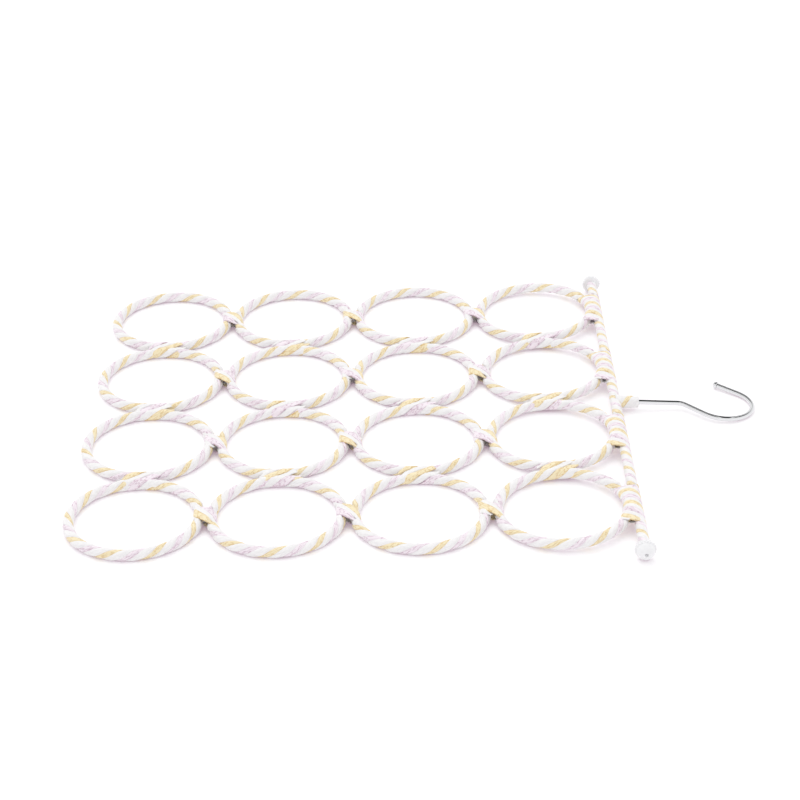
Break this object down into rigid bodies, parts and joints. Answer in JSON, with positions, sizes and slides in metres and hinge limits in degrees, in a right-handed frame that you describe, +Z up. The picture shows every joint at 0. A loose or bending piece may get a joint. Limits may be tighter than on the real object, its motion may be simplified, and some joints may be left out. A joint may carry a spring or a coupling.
{
  "type": "scarf hanger",
  "caption": "Flat net of ribbon-wrapped rings lashed in rows below a wrapped bar with plastic end caps and a swivelling wire hook, for hanging scarves through the rings.",
  "frame": {"origin": "on the floor under the middle of the hanger as it lies flat", "axes": "+X along the hanging direction towards the hook, +Y along the bar, +Z up from the floor"},
  "size_m": [0.456, 0.3774, 0.0138],
  "materials": {
    "ribbon": "satin ribbon in yellow, white and pale pink",
    "wire_steel": "plain drawn wire",
    "hook_chrome": "bright plating",
    "cap_plastic": "glossy white"
  },
  "bodies": {
    "bar": {"bar_rod": "wire_steel", "bar_wrap": "ribbon", "hook_socket": "wire_steel", "hook_neck_wrap": "ribbon", "finial_front": "cap_plastic", "finial_back": "cap_plastic"},
    "hook": {"hook": "hook_chrome"},
    "tie_row_1": {"bar_tie_a": "ribbon", "bar_tie_b": "ribbon", "bar_tie_c": "ribbon", "bar_tie_d": "ribbon"},
    "row_1": {"ring_wire_1a": "wire_steel", "ring_wire_1b": "wire_steel", "ring_wire_1c": "wire_steel", "ring_wire_1d": "wire_steel", "ring_wrap_1a": "ribbon", "ring_wrap_1b": "ribbon", "ring_wrap_1c": "ribbon", "ring_wrap_1d": "ribbon", "side_ties_1": "ribbon"},
    "tie_row_2": {"row_tie_2a": "ribbon", "row_tie_2b": "ribbon", "row_tie_2c": "ribbon", "row_tie_2d": "ribbon"},
    "row_2": {"ring_wire_2a": "wire_steel", "ring_wire_2b": "wire_steel", "ring_wire_2c": "wire_steel", "ring_wire_2d": "wire_steel", "ring_wrap_2a": "ribbon", "ring_wrap_2b": "ribbon", "ring_wrap_2c": "ribbon", "ring_wrap_2d": "ribbon", "side_ties_2": "ribbon"},
    "tie_row_3": {"row_tie_3a": "ribbon", "row_tie_3b": "ribbon", "row_tie_3c": "ribbon", "row_tie_3d": "ribbon"},
    "row_3": {"ring_wire_3a": "wire_steel", "ring_wire_3b": "wire_steel", "ring_wire_3c": "wire_steel", "ring_wire_3d": "wire_steel", "ring_wrap_3a": "ribbon", "ring_wrap_3b": "ribbon", "ring_wrap_3c": "ribbon", "ring_wrap_3d": "ribbon", "side_ties_3": "ribbon"},
    "tie_row_4": {"row_tie_4a": "ribbon", "row_tie_4b": "ribbon", "row_tie_4c": "ribbon", "row_tie_4d": "ribbon"},
    "row_4": {"ring_wire_4a": "wire_steel", "ring_wire_4b": "wire_steel", "ring_wire_4c": "wire_steel", "ring_wire_4d": "wire_steel", "ring_wrap_4a": "ribbon", "ring_wrap_4b": "ribbon", "ring_wrap_4c": "ribbon", "ring_wrap_4d": "ribbon", "side_ties_4": "ribbon"}
  },
  "joints": [
    {"name": "hook_swivel", "type": "hinge", "parent": "bar", "child": "hook", "pos_m": [0.13244, 0, 0.0069], "axis": [0.9985, 0, -0.0553], "continuous": true},
    {"name": "fold_1", "type": "hinge", "parent": "bar", "child": "tie_row_1", "pos_m": [0.13244, 0, 0.0069], "axis": [0, 1, 0], "range_deg": [-75, 75]},
    {"name": "roll_1", "type": "hinge", "parent": "tie_row_1", "child": "row_1", "pos_m": [0.12785, 0, 0.00673], "axis": [0, 1, 0], "range_deg": [-15, 15]},
    {"name": "fold_2", "type": "hinge", "parent": "row_1", "child": "tie_row_2", "pos_m": [0.0456, 0, 0.00369], "axis": [0, 1, 0], "range_deg": [-87.5, 87.5]},
    {"name": "roll_2", "type": "hinge", "parent": "tie_row_2", "child": "row_2", "pos_m": [0.0379, 0, 0.00369], "axis": [0, 1, 0], "range_deg": [-87.5, 87.5]},
    {"name": "fold_3", "type": "hinge", "parent": "row_2", "child": "tie_row_3", "pos_m": [-0.0444, 0, 0.00369], "axis": [0, -1, 0], "range_deg": [-87.5, 87.5]},
    {"name": "roll_3", "type": "hinge", "parent": "tie_row_3", "child": "row_3", "pos_m": [-0.0521, 0, 0.00369], "axis": [0, -1, 0], "range_deg": [-87.5, 87.5]},
    {"name": "fold_4", "type": "hinge", "parent": "row_3", "child": "tie_row_4", "pos_m": [-0.1344, 0, 0.00369], "axis": [0, 1, 0], "range_deg": [-87.5, 87.5]},
    {"name": "roll_4", "type": "hinge", "parent": "tie_row_4", "child": "row_4", "pos_m": [-0.1421, 0, 0.00369], "axis": [0, 1, 0], "range_deg": [-87.5, 87.5]}
  ]
}
